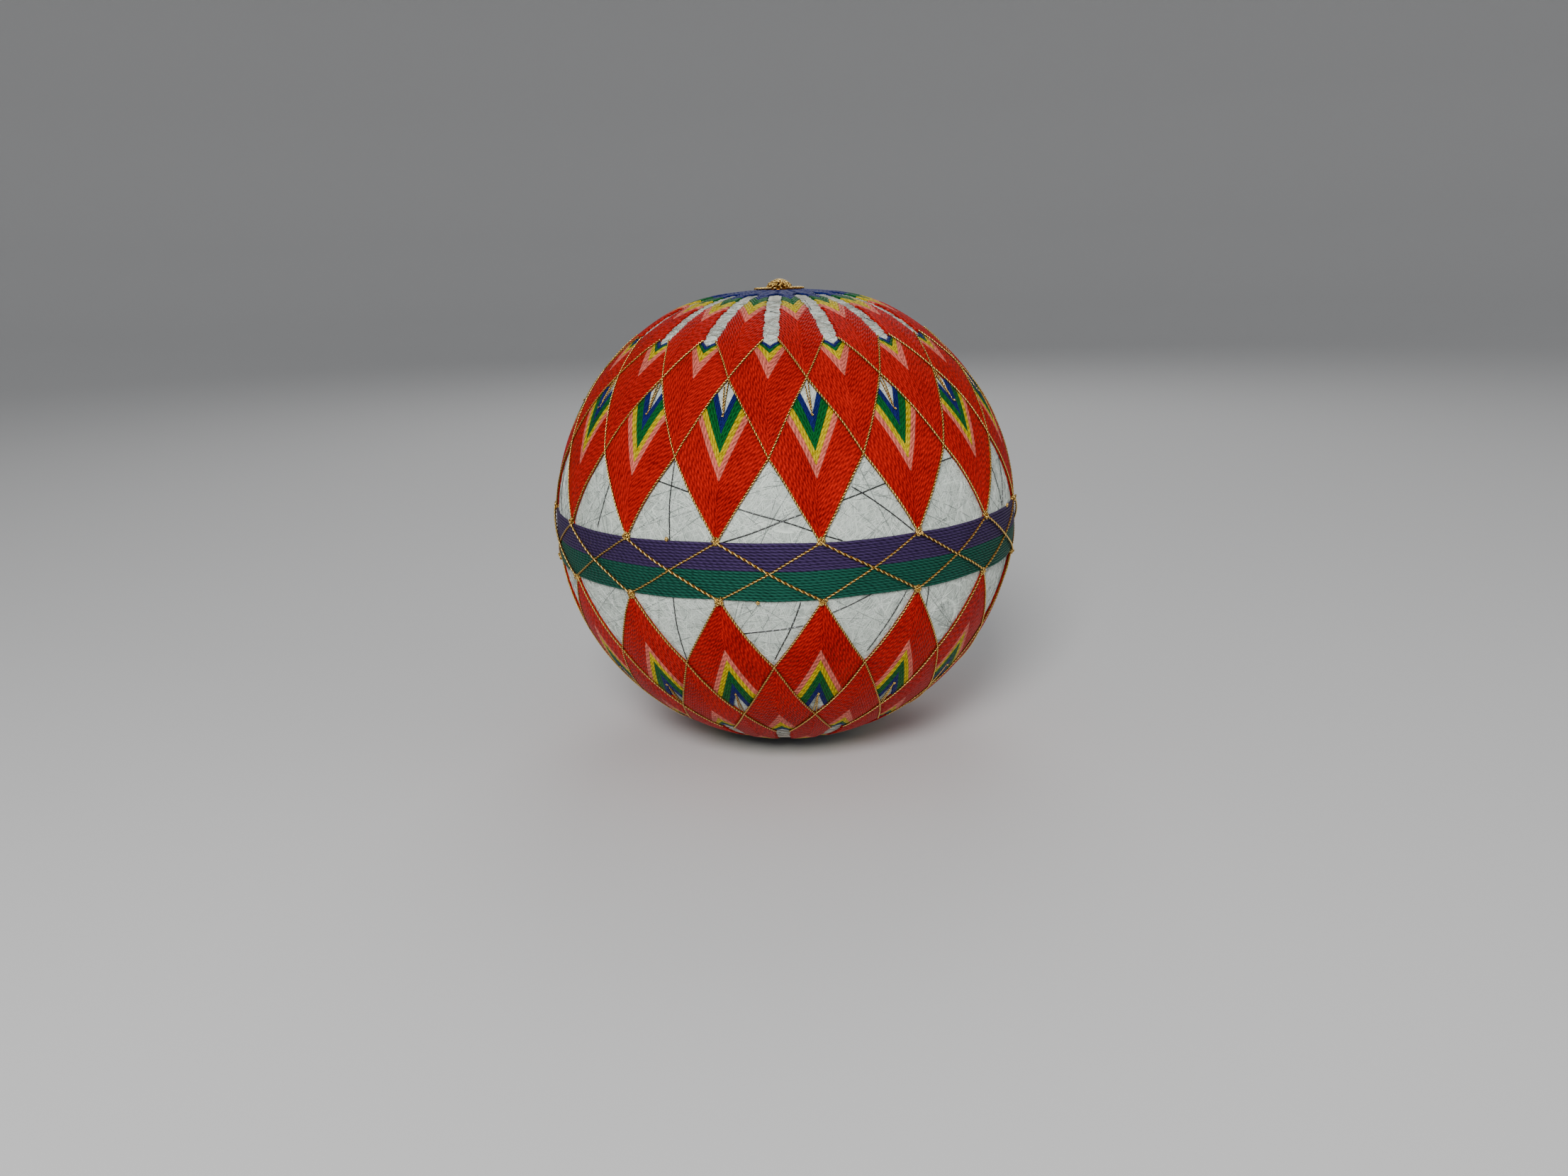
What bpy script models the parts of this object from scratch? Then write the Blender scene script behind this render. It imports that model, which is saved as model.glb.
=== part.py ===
"""A temari ball: a wound thread ball with a stitched flower of sixteen petals on each half.

Each flower has three tiers of petals, which meet edge to edge like scales. A two-colour band
goes round the waist, and a gold knot sits on the flattened crown. The white winding shows
between the outer petals, in a small window in each of them and in strips between the inner
petals. Metres, +Z up. The ball rests on z = 0 on a small flat spot under its middle.
"""

import math

import bmesh
import bpy

# The ball, in metres.
BALL_RADIUS = 0.075  # over the stitching
STITCH_THICKNESS = 0.0009
WINDING_GAP = 0.0008  # stitching to winding at the corners; the flat facets come nearer
CROWN_DEPTH = 0.0026  # how far the knot has pulled the crown in, at its middle
CROWN_REACH = 0.036  # how far out from the axis the pull is felt
REST_RADIUS = 0.009  # the flat spot underneath
REST_DEPTH = BALL_RADIUS - math.sqrt(BALL_RADIUS**2 - REST_RADIUS**2)
CENTRE_HEIGHT = BALL_RADIUS - REST_DEPTH

# The division, in degrees. Petal tips of the outer and inner tiers lie on the main lines, the
# first of them at the front. Tips of the middle tier lie on the lines halfway between.
PETALS = 16
DIVISION = 360 / PETALS
HALF = DIVISION / 2
FRONT = -90
WAIST_DROP = 1.74  # the band sits this far below the middle, and the stitching follows it

# Latitudes from the waist band's middle, in degrees.
BAND_EDGE = 6.3
COLOUR_CHANGE = 0.35
OUTER_SIDE = 24.0  # where neighbouring outer petals meet, at the top of a white triangle
MIDDLE_SIDE = 42.2  # where neighbouring middle petals meet
WINDOW_TIP = 33.1
WINDOW_CORNER_LON = 2.45
STRIP_TIP = 51.2
STRIP_SHOULDER = 52.9
STRIP_TOP = 74.3
STRIP_ROWS = (60, 67, STRIP_TOP)
STRIP_HALF_WIDTH = 0.0022  # metres
CAP_EDGE = 84.0  # the upper cap is level inside this, under the knot
NECK = 1.2  # what holds the petals of one tier together
SEAM = 0.6  # between two tiers, which leaves 0.3 mm across their slanting edges
BAND_SEAM = 0.25  # either side of the band's colour change

# The crown knot, in metres, from the top of the upper cap.
KNOT_PROFILE = (
    # radius, height
    (0.0, 0.0030),
    (0.0024, 0.0027),
    (0.0041, 0.0016),
    (0.0060, 0.0009),
    (0.0083, 0.0007),
    (0.0083, 0.0003),
    (0.0, 0.0003),
)
KNOT_STEPS = 32

# Facets and rows.
BALL_SEGMENTS = 40
BALL_RINGS = 20
BAND_COLUMNS = 3  # in each division
OUTER_ROWS = 4
MIDDLE_ROWS = 3
CAP_ROWS = 2
FLAT_MARGIN = 0.4  # degrees that the rest spot's outline keeps inside it, to stay level
MERGE = 0.00001
SHARP = math.radians(40)

RED = (0.45, 0.025, 0.012, 1)
WHITE = (0.58, 0.62, 0.56, 1)
PURPLE = (0.055, 0.03, 0.13, 1)
GREEN = (0.006, 0.10, 0.065, 1)
GOLD = (0.62, 0.33, 0.09, 1)


def material(name, colour, roughness=0.6, metallic=0.0):
    """A plain Principled material."""
    made = bpy.data.materials.new(name)
    made.use_nodes = True
    surface = made.node_tree.nodes["Principled BSDF"]
    surface.inputs["Base Color"].default_value = colour
    surface.inputs["Roughness"].default_value = roughness
    surface.inputs["Metallic"].default_value = metallic
    made.diffuse_color = colour
    return made


def add_object(name, bm, surface):
    """An object of this mesh, shaded smooth but for real edges, with one material."""
    mesh = bpy.data.meshes.new(name)
    bm.to_mesh(mesh)
    bm.free()
    mesh.shade_smooth()
    mesh.set_sharp_from_angle(angle=SHARP)
    mesh.materials.append(surface)
    made = bpy.data.objects.new(name, mesh)
    bpy.context.collection.objects.link(made)
    return made


def crown_pull(out):
    """How far the knot has drawn the ball down, at a distance out from the axis."""
    return CROWN_DEPTH * max(0, 1 - (out / CROWN_REACH) ** 2) ** 2


def ball_point(lat, lon, radius):
    """The point over this latitude from the waist and longitude from the front main line."""
    dropped = math.radians(lat - WAIST_DROP * (1 - abs(lat) / 90))
    turned = math.radians(FRONT + lon)
    out = radius * math.cos(dropped)
    height = radius * math.sin(dropped)
    if height > 0:
        height -= crown_pull(out)
    height = max(height, REST_DEPTH - radius)
    return out * math.cos(turned), out * math.sin(turned), CENTRE_HEIGHT + height


def taut(lon, start, end):
    """The latitude at a longitude on the straight line over the ball between two points.

    A taut thread follows it. Each point is a pair of longitude and latitude.
    """
    span = math.radians(end[0] - start[0])
    from_start = math.sin(math.radians(lon - start[0])) * math.tan(math.radians(end[1]))
    from_end = math.sin(math.radians(end[0] - lon)) * math.tan(math.radians(start[1]))
    return math.degrees(math.atan((from_start + from_end) / math.sin(span)))


def strip_edge(lat):
    """The longitude of an inner petal's edge, along the white strip beside it."""
    half = math.asin(STRIP_HALF_WIDTH / (BALL_RADIUS * math.cos(math.radians(lat))))
    return HALF - math.degrees(half)


def add_patch(bm, columns, rows, place):
    """A grid laid on the ball: place gives latitude and longitude for a column and a row."""
    grid = bmesh.ops.create_grid(bm, x_segments=columns, y_segments=rows, size=0.5)
    for vert in grid["verts"]:
        column = round((vert.co.x + 0.5) * columns)
        row = round((vert.co.y + 0.5) * rows)
        vert.co = ball_point(*place(column, row), BALL_RADIUS)


def all_round(bm):
    """Repeats one division's patches round the ball and joins them."""
    bmesh.ops.spin(
        bm,
        geom=bm.verts[:] + bm.edges[:] + bm.faces[:],
        cent=(0, 0, 0),
        axis=(0, 0, 1),
        angle=math.radians(DIVISION * (PETALS - 1)),
        steps=PETALS - 1,
        use_duplicate=True,
    )
    bmesh.ops.remove_doubles(bm, verts=bm.verts, dist=MERGE)


def add_stitching(name, bm, surface):
    """Stitched rows as one layer: their outer face, thickened inward."""
    bmesh.ops.recalc_face_normals(bm, faces=bm.faces)
    widest = max(bm.faces, key=lambda face: face.calc_center_median().xy.length)
    if widest.normal.xy.dot(widest.calc_center_median().xy) < 0:
        bmesh.ops.reverse_faces(bm, faces=bm.faces)
    made = add_object(name, bm, surface)
    layer = made.modifiers.new("layer", "SOLIDIFY")
    layer.thickness = STITCH_THICKNESS
    layer.offset = -1
    return made


def rest_edge():
    """The latitude from the waist, downward, where the rest spot begins."""
    lat = math.degrees(math.asin(1 - REST_DEPTH / BALL_RADIUS)) + FLAT_MARGIN
    return (lat - WAIST_DROP) / (1 - WAIST_DROP / 90)


def add_zone(name, side, lons, low, high, rows, surface):
    """A ring of stitching between two edges. low and high hold a latitude for each longitude."""

    def place(column, row):
        share = row / rows
        return side * (low[column] * (1 - share) + high[column] * share), lons[column]

    bm = bmesh.new()
    add_patch(bm, len(lons) - 1, rows, place)
    all_round(bm)
    return add_stitching(name, bm, surface)


def add_outer_petals(name, side, surface):
    """The outer tier, from the band up, with a small window of winding in each petal."""
    lons = (0, WINDOW_CORNER_LON, HALF, DIVISION - WINDOW_CORNER_LON, DIVISION)
    corner = taut(WINDOW_CORNER_LON, (0, MIDDLE_SIDE - SEAM), (HALF, OUTER_SIDE + NECK))
    tip = BAND_EDGE + SEAM
    near = taut(WINDOW_CORNER_LON, (0, tip), (HALF, OUTER_SIDE))
    low = (tip, near, OUTER_SIDE, near, tip)
    high = (WINDOW_TIP, corner, OUTER_SIDE + NECK, corner, WINDOW_TIP)
    return add_zone(name, side, lons, low, high, OUTER_ROWS, surface)


def add_middle_petals(name, side, surface):
    """The middle tier, whose tops end under the white strips."""
    shoulder_lon = strip_edge(STRIP_SHOULDER)
    lons = (0, shoulder_lon, HALF, DIVISION - shoulder_lon, DIVISION)
    tip = OUTER_SIDE + NECK + SEAM
    near = taut(shoulder_lon, (0, MIDDLE_SIDE), (HALF, tip))
    low = (MIDDLE_SIDE, near, tip, near, MIDDLE_SIDE)
    waist = MIDDLE_SIDE + NECK
    high = (waist, STRIP_SHOULDER - SEAM, STRIP_TIP, STRIP_SHOULDER - SEAM, waist)
    return add_zone(name, side, lons, low, high, MIDDLE_ROWS, surface)


def add_inner_petals(name, side, cap_top, surface):
    """The inner tier: petals between the white strips, which join in a cap at the pole."""
    tip = (0, MIDDLE_SIDE + NECK + SEAM)
    shoulder = (strip_edge(STRIP_SHOULDER), STRIP_SHOULDER)
    mid_lon = shoulder[0] / 2
    edges = [tip, (mid_lon, taut(mid_lon, tip, shoulder)), shoulder]
    edges += [(strip_edge(lat), lat) for lat in STRIP_ROWS]
    cap_edge = strip_edge(STRIP_TOP)
    cap_lons = (-HALF, -cap_edge, 0, cap_edge, HALF)
    cap_height = cap_top - STRIP_TOP

    def place_petal(column, row):
        lon, lat = edges[row]
        return side * lat, (column - 1) * lon

    def place_cap(column, row):
        return side * (STRIP_TOP + cap_height * row / CAP_ROWS), cap_lons[column]

    bm = bmesh.new()
    add_patch(bm, 2, len(edges) - 1, place_petal)
    add_patch(bm, len(cap_lons) - 1, CAP_ROWS, place_cap)
    all_round(bm)
    flat = side * max(side * vert.co.z for vert in bm.verts)
    rim = [e for e in bm.edges if all(abs(v.co.z - flat) < MERGE for v in e.verts)]
    bmesh.ops.contextual_create(bm, geom=rim)
    return add_stitching(name, bm, surface)


def add_band_rows(name, low, high, surface):
    """One colour of the waist band, as wound rows between two latitudes."""
    lons = [DIVISION * step / BAND_COLUMNS for step in range(BAND_COLUMNS + 1)]
    return add_zone(name, 1, lons, [low] * len(lons), [high] * len(lons), 1, surface)


def add_wound_ball(surface):
    """The wound core, drawn in at the crown and flat at the rest spot like its stitching."""
    radius = BALL_RADIUS - STITCH_THICKNESS - WINDING_GAP
    bm = bmesh.new()
    bmesh.ops.create_uvsphere(
        bm, u_segments=BALL_SEGMENTS, v_segments=BALL_RINGS, radius=radius
    )
    for vert in bm.verts:
        pull = crown_pull(vert.co.xy.length) if vert.co.z > 0 else 0
        vert.co.z = CENTRE_HEIGHT + max(vert.co.z - pull, REST_DEPTH - radius)
    bmesh.ops.recalc_face_normals(bm, faces=bm.faces)
    return add_object("wound_ball", bm, surface)


def add_crown_knot(surface):
    """The knot: a low mound on a thin rosette, turned about the ball's axis."""
    crown = ball_point(CAP_EDGE, 0, BALL_RADIUS)[2]
    bm = bmesh.new()
    points = [bm.verts.new((radius, 0, crown + height)) for radius, height in KNOT_PROFILE]
    edges = [bm.edges.new(pair) for pair in zip(points, points[1:])]
    bmesh.ops.spin(
        bm,
        geom=points + edges,
        cent=(0, 0, 0),
        axis=(0, 0, 1),
        angle=2 * math.pi,
        steps=KNOT_STEPS,
        use_merge=True,
    )
    bmesh.ops.remove_doubles(bm, verts=bm.verts, dist=MERGE)
    bmesh.ops.recalc_face_normals(bm, faces=bm.faces)
    return add_object("crown_knot", bm, surface)


for old in list(bpy.data.objects):
    bpy.data.objects.remove(old)

add_wound_ball(material("winding", WHITE, 0.75))
add_band_rows("band_upper_rows", COLOUR_CHANGE + BAND_SEAM, BAND_EDGE, material("purple", PURPLE))
add_band_rows("band_lower_rows", -BAND_EDGE, COLOUR_CHANGE - BAND_SEAM, material("green", GREEN))

for half_name, side, cap_top in (("upper", 1, CAP_EDGE), ("lower", -1, rest_edge())):
    for tier, build in (("outer", add_outer_petals), ("middle", add_middle_petals)):
        name = f"{half_name}_{tier}_petals"
        build(name, side, material(name, RED))
    name = f"{half_name}_inner_petals"
    add_inner_petals(name, side, cap_top, material(name, RED))

add_crown_knot(material("gold_thread", GOLD, 0.35, 0.8))
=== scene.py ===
import math
import random

import bmesh
import bpy
from mathutils import Matrix, Vector, noise


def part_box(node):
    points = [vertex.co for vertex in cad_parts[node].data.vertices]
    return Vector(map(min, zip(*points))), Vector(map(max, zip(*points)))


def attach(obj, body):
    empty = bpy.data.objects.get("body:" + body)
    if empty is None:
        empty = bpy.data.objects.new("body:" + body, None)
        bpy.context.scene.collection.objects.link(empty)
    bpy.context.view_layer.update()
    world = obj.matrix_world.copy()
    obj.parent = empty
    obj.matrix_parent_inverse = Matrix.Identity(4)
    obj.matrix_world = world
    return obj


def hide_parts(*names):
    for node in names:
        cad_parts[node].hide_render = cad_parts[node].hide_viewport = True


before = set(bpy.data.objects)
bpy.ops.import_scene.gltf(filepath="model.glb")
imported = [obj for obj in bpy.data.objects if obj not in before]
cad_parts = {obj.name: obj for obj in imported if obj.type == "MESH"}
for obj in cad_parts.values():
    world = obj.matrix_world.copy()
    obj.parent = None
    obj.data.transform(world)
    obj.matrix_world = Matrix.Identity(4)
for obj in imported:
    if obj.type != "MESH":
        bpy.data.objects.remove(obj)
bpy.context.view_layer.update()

# The wound ball.
# A light core under many layers of fine off-white thread, wound in every direction until it is
# round. The knot draws the crown in, and the ball rests on a small flat of its own.
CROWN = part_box("upper_inner_petals")[1][2]
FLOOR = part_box("lower_inner_petals")[0][2]
band_low, band_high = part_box("band_lower_rows")
RADIUS = (band_high[0] - band_low[0]) / 2
REST_RADIUS = 0.009  # of the flat spot that the ball stands on
CENTRE = Vector((0, 0, FLOOR + math.sqrt(RADIUS**2 - REST_RADIUS**2)))
CROWN_DEPTH = 0.0026  # how far the crown is drawn in
CROWN_REACH = 0.036  # how far out from the axis this is felt
WAIST_DROP = 1.74  # degrees that the stitching sits low at the waist
WINDING_DEPTH = 0.00082  # from the top of the stitching down to the winding
DRIFTS = (
    # changes of direction in a metre, how far stitches wander
    (42, 0.0006),
    (150, 0.00012),
)
POLE_LEVEL = 0.071  # past this height above or below the middle, stitches only wander sideways
noise.seed_set(5)  # or stitches would wander another way each time


def press(spot, depth):
    """Moves a point of the round ball to where it is on the pressed one, at this depth."""
    height = spot.z
    if height > CENTRE.z:
        height -= CROWN_DEPTH * max(0, 1 - (spot.xy.length / CROWN_REACH) ** 2) ** 2
    spot.z = max(min(height, CROWN - depth), FLOOR + depth)
    return spot


def on_ball(lat, lon, depth):
    """The point at a depth under the stitching's surface.

    The latitude counts from the waist band, and the longitude from the main line in front.
    """
    up = math.radians(lat - WAIST_DROP * (1 - abs(lat) / 90))
    turned = math.radians(lon - 90)
    level = Vector((math.cos(turned), math.sin(turned), 0)) * math.cos(up)
    return press(CENTRE + (level + Vector((0, 0, math.sin(up)))) * (RADIUS - depth), depth)


def make_uneven(bm):
    """Lets stitches wander a little along the surface, as hand work does."""
    for vert in bm.verts:
        out = vert.co - CENTRE
        drift = Vector()
        for waves, far in DRIFTS:
            drift += noise.noise_vector(out * waves) * far
        moved = (out + drift).normalized() * out.length
        if abs(out.z) > POLE_LEVEL:
            moved.z = out.z
        vert.co = CENTRE + moved


def finish_piece(name, bm, material, slot, *replaced):
    """Makes the mesh a piece of the ball, which rides on its only body."""
    bmesh.ops.recalc_face_normals(bm, faces=bm.faces)
    mesh = bpy.data.meshes.new(name)
    bm.to_mesh(mesh)
    bm.free()
    mesh.shade_smooth()
    mesh.materials.append(material)
    piece = bpy.data.objects.new(name, mesh)
    bpy.context.scene.collection.objects.link(piece)
    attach(piece, "root")
    if replaced:
        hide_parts(*replaced)
    return piece


class Shade:
    """A socket in a material. Arithmetic on it adds the Math node that does it."""

    def __init__(self, tree, socket=None):
        self.tree = tree
        self.socket = socket

    def add(self, kind, settings=None, inputs=None, output=0):
        """Adds a node, sets it up and gives its sockets their values or links."""
        node = self.tree.nodes.new(kind)
        for name, value in (settings or {}).items():
            setattr(node, name, value)
        for name, value in (inputs or {}).items():
            if isinstance(value, Shade):
                self.tree.links.new(value.socket, node.inputs[name])
            else:
                node.inputs[name].default_value = value
        return Shade(self.tree, node.outputs[output])

    def output(self, name):
        """Another output of the node that this socket is on."""
        return Shade(self.tree, self.socket.node.outputs[name])

    def math(self, operation, *values):
        return self.add("ShaderNodeMath", {"operation": operation}, dict(enumerate(values)))

    def mix(self, low, high):
        """The first colour where this is 0, and the second where it is 1."""
        inputs = {0: self, 6: low, 7: high}
        return self.add("ShaderNodeMix", {"data_type": "RGBA"}, inputs, 2)

    def clamp(self):
        """Keeps the value between 0 and 1."""
        return self.math("MINIMUM", self.math("MAXIMUM", self, 0.0), 1.0)

    def __add__(self, other):
        return self.math("ADD", self, other)

    def __sub__(self, other):
        return self.math("SUBTRACT", self, other)

    def __rsub__(self, other):
        return self.math("SUBTRACT", other, self)

    def __mul__(self, other):
        return self.math("MULTIPLY", self, other)


def new_material(name, **constants):
    """A Principled material, its plain values, and a start for its shader maths."""
    material = bpy.data.materials.new(name)
    material.use_nodes = True
    surface = material.node_tree.nodes["Principled BSDF"]
    for socket, value in constants.items():
        surface.inputs[socket.replace("_", " ")].default_value = value
    return material, surface, Shade(material.node_tree)


def drive(surface, socket, shade):
    """Links what changes over a surface to the surface's socket."""
    shade.tree.links.new(shade.socket, surface.inputs[socket])


# Directions in which the winding was turned, one for each pass that still shows.
PASSES = (
    (0.9, 0.3, 0.4), (-0.5, 0.8, 0.3), (0.2, -0.3, 0.95), (0.7, -0.7, 0.15),
    (-0.8, -0.2, 0.6), (0.1, 0.95, -0.35), (0.55, 0.5, -0.7), (-0.3, 0.25, 0.9),
)
PALE = (0.82, 0.90, 0.80, 1)
SHADED = (0.27, 0.31, 0.28, 1)
TURNS_IN_METRE = 2600.0  # how closely the turns of one pass lie
PATCHES_IN_METRE = 260.0  # how often another pass comes on top


def winding_material():
    """Fine pale thread in crossing passes, each on top in patches of its own, with painted shade in
    the gaps between its turns.
    """
    material, surface, shade = new_material(
        "wound_thread", Roughness=0.5, Specular_IOR_Level=0.4
    )
    place = shade.add("ShaderNodeTexCoord", output=3)
    height = shown = None
    for index, turn in enumerate(PASSES):
        axis = Vector(turn).normalized()
        across = shade.add(
            "ShaderNodeVectorMath", {"operation": "DOT_PRODUCT"}, {0: place, 1: axis}, 1
        )
        turns = across * TURNS_IN_METRE + index * 17.0
        lines = shade.add(
            "ShaderNodeTexNoise",
            {"noise_dimensions": "1D"},
            {"W": turns, "Scale": 1.0, "Detail": 3.0, "Roughness": 0.7},
        )
        patch = shade.add(
            "ShaderNodeTexNoise",
            {"noise_dimensions": "4D"},
            {"Vector": place, "W": index * 9.3, "Scale": PATCHES_IN_METRE, "Detail": 1.0},
        )
        layer = lines * 0.9 + patch * 1.2
        if index == 0:
            height, shown = layer, lines
        else:
            on_top = shade.math("GREATER_THAN", layer, height)
            shown = shown + (lines - shown) * on_top
            height = shade.math("MAXIMUM", height, layer)
    # The darker colour, SHADED, is painted shade in the gaps between the turns of the top pass; PALE
    # is the thread.
    level = (shown * 3.2 - 1.35).clamp()
    drive(surface, "Base Color", level.mix(SHADED, PALE))
    bump = {"Strength": 0.8, "Distance": 0.0003, "Height": height}
    drive(surface, "Normal", shade.add("ShaderNodeBump", None, bump))
    return material


winding = winding_material()
bm = bmesh.new()
bmesh.ops.create_uvsphere(bm, u_segments=144, v_segments=72, radius=RADIUS - WINDING_DEPTH)
bmesh.ops.translate(bm, verts=bm.verts, vec=CENTRE)
for vert in bm.verts:
    press(vert.co, WINDING_DEPTH)
finish_piece("winding", bm, winding, "winding", "wound_ball")

# Loose strands of the winding.
# The last turns of the fine thread, which lie singly over the rest and cross at random. They are
# all the same off-white thread; some are painted whiter, as painted light where they catch the
# light, and others grey, as painted shade against the ones below.
STRAND_SHADES = (
    # name, count, darkest, lightest
    # The first kind is painted light and the second painted shade, on the same thread.
    ("painted_lit_strands", 230, (0.55, 0.60, 0.55, 1), (0.95, 0.98, 0.93, 1)),
    ("painted_shaded_strands", 150, (0.13, 0.155, 0.14, 1), (0.40, 0.45, 0.41, 1)),
)
STRAND_STEPS = 60
STRAND_RADIUS = 0.00009
STRAND_SHIFT = 0.022  # how far a turn usually is from going round the middle
STRAND_REACH = 0.06  # and how far at most


def strand_material(name, darkest, lightest):
    """Fine thread, lighter in some stretches than in others."""
    material, surface, shade = new_material(name, Roughness=0.4, Specular_IOR_Level=0.5)
    place = shade.add("ShaderNodeTexCoord", output=3)
    tint = shade.add("ShaderNodeTexNoise", None, {"Vector": place, "Scale": 330.0})
    drive(surface, "Base Color", (tint * 2 - 0.5).clamp().mix(darkest, lightest))
    return material


def random_pole(rng):
    """A direction, any as likely as any other."""
    return Vector([rng.gauss(0, 1) for _ in range(3)]).normalized()


# One turn of thread round the ball, of which every strand is a copy.
ring = bmesh.new()
section = bmesh.ops.create_circle(ring, segments=3, radius=STRAND_RADIUS)["verts"]
bmesh.ops.rotate(ring, verts=section, matrix=Matrix.Rotation(math.pi / 2, 3, "X"))
bmesh.ops.translate(ring, verts=section, vec=(RADIUS - WINDING_DEPTH, 0, 0))
bmesh.ops.spin(
    ring, geom=ring.verts[:] + ring.edges[:], cent=(0, 0, 0), axis=(0, 0, 1),
    angle=2 * math.pi, steps=STRAND_STEPS, use_merge=True,
)
turn_of_thread = bpy.data.meshes.new("turn_of_thread")
ring.to_mesh(turn_of_thread)
ring.free()
rng = random.Random(12)
for name, count, darkest, lightest in STRAND_SHADES:
    bm = bmesh.new()
    for _ in range(count):
        start = len(bm.verts)
        bm.from_mesh(turn_of_thread)
        bm.verts.ensure_lookup_table()
        made = bm.verts[start:]
        shift = max(-STRAND_REACH, min(STRAND_REACH, rng.gauss(0, STRAND_SHIFT)))
        reach = RADIUS - WINDING_DEPTH + rng.uniform(-0.00002, 0.00007)
        size = math.sqrt(reach**2 - shift**2) / (RADIUS - WINDING_DEPTH)
        turn = Vector((0, 0, 1)).rotation_difference(random_pole(rng)).to_matrix()
        bmesh.ops.scale(bm, verts=made, vec=(size, size, rng.uniform(0.6, 1.5)))
        bmesh.ops.translate(bm, verts=made, vec=(0, 0, shift))
        bmesh.ops.rotate(bm, verts=made, matrix=turn)
    bmesh.ops.translate(bm, verts=bm.verts, vec=CENTRE)
    for vert in bm.verts:
        press(vert.co, WINDING_DEPTH)
    finish_piece(name, bm, strand_material(name, darkest, lightest), "winding")
bpy.data.meshes.remove(turn_of_thread)

# Petal rows.
# Sixteen-pointed herringbone rows of shiny cotton, stitched to and fro between the lines that
# divide the ball. Each colour's rows lie side by side, the later ones below the earlier.
PETALS = 16
HALVES = (("upper", 1), ("lower", -1))
DIVISION = 360 / PETALS
HALF = DIVISION / 2
# Latitudes on the stitching, in degrees.
BAND_EDGE = 6.3
OUTER_SIDE = 24.0  # where outer petals touch
WINDOW_TIP = 33.1  # foot of the white window in an outer petal
MIDDLE_SIDE = 42.2  # where middle petals touch
STRIP_TIP = 51.2  # foot of the white strip between inner petals
STRIP_SHOULDER = 52.9  # where the strip's sides end, over its pointed foot
STRIP_TOP = 78.5  # where the strip ends under the rows of the crown
STRIP_NARROWING = 3.5  # over how many degrees it narrows there
STRIP_HALF_WIDTH = 0.0022
WINDOW_LON = 2.45  # half the window's width at its top, in degrees of longitude


def taut(lon, start, end):
    """The latitude at a longitude on a taut thread through two points (longitude, latitude)."""
    span = math.radians(end[0] - start[0])
    from_start = math.sin(math.radians(lon - start[0])) * math.tan(math.radians(end[1]))
    from_end = math.sin(math.radians(end[0] - lon)) * math.tan(math.radians(start[1]))
    return math.degrees(math.atan((from_start + from_end) / math.sin(span)))


def strip_edge(lat):
    """How far in longitude a strip's edge is from the inner petal's line."""
    narrowing = max(0.0, min(1.0, (STRIP_TOP - lat) / STRIP_NARROWING))
    half = STRIP_HALF_WIDTH * narrowing / (RADIUS * math.cos(math.radians(lat)))
    return HALF - math.degrees(math.asin(half))


def lay_thread(bm, path, ups, half_widths, half_heights, sides, painted_highlight=None, begin=0.0):
    """Rolls a grid into a thread along a path.

    Its UV is the distance along in millimetres, from begin, and the turn round. For a strand of a
    cord the last argument tells how far each place is on top of the other strand, and for a knot's
    loop how much it shines; it is kept as on_top, and the gold material paints a painted highlight
    from it.
    """
    layers = bm.loops.layers.uv
    uv = layers.get("thread") or layers.new("thread")
    on_top = bm.verts.layers.float.get("on_top") or bm.verts.layers.float.new("on_top")
    steps = len(path) - 1
    along = [begin]
    for here, there in zip(path, path[1:]):
        along.append(along[-1] + (there - here).length * 1000)
    closed = (path[0] - path[-1]).length < 1e-7
    sections = []
    for index, point in enumerate(path):
        before = path[index - 1] if index else path[-2 if closed else 0]
        after = path[index + 1] if index < steps else path[1 if closed else steps]
        ahead = (after - before).normalized()
        across = ups[index].cross(ahead).normalized()
        above = ahead.cross(across)
        sections.append((point, across * half_widths[index], above * half_heights[index]))
    grid = bmesh.ops.create_grid(bm, x_segments=steps, y_segments=sides, size=0.5)["verts"]
    spots = {}
    for vert in grid:
        column = round((vert.co.x + 0.5) * steps)
        row = round((vert.co.y + 0.5) * sides)
        spots[vert] = column, row
    for face in {face for vert in grid for face in vert.link_faces}:
        for loop in face.loops:
            column, row = spots[loop.vert]
            loop[uv].uv = along[column], row / sides
    for vert, (column, row) in spots.items():
        point, across, above = sections[column]
        turn = 2 * math.pi * (row % sides) / sides
        vert.co = point + across * math.cos(turn) + above * math.sin(turn)
        if painted_highlight:
            vert[on_top] = painted_highlight[column]
    bmesh.ops.remove_doubles(bm, verts=grid, dist=1e-6)


def repeat_round(bm):
    """Repeats one division's stitches round the ball."""
    bmesh.ops.spin(
        bm, geom=bm.verts[:] + bm.edges[:] + bm.faces[:], cent=(0, 0, 0), axis=(0, 0, 1),
        angle=math.radians(DIVISION * (PETALS - 1)), steps=PETALS - 1, use_duplicate=True,
    )


def read_rows(start, table, row):
    """Tip and far-end values for a place among the rows, between those of the colours' edges."""
    first, last = 0, start
    for colour, count, *values in table:
        if row <= first + count or (colour, count, *values) == table[-1]:
            share = (row - first) / count
            return [a + (b - a) * share for a, b in zip(last, values)]
        first, last = first + count, values


def surface_up(lat, lon):
    """The direction straight out of the ball at a place."""
    return (on_ball(lat, lon, 0) - on_ball(lat, lon, 0.001)).normalized()


OVERSHOOT = -0.42  # degrees past the petal's line, where two halves of a row interlock
PLUMP = 1.3  # how much wider a thread is than its place, so that rows close up
THREAD_HEIGHT = 0.00041
THREAD_SECTION = 0.00000021  # square metres, half width times half height
NARROWEST, WIDEST = 0.00024, 0.00066  # half widths of a thread
LONG_ROW = 0.009  # metres, from which a row has more places on its way
PLY_TURN = 4.0  # millimetres along a thread for one turn of its plies
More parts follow.
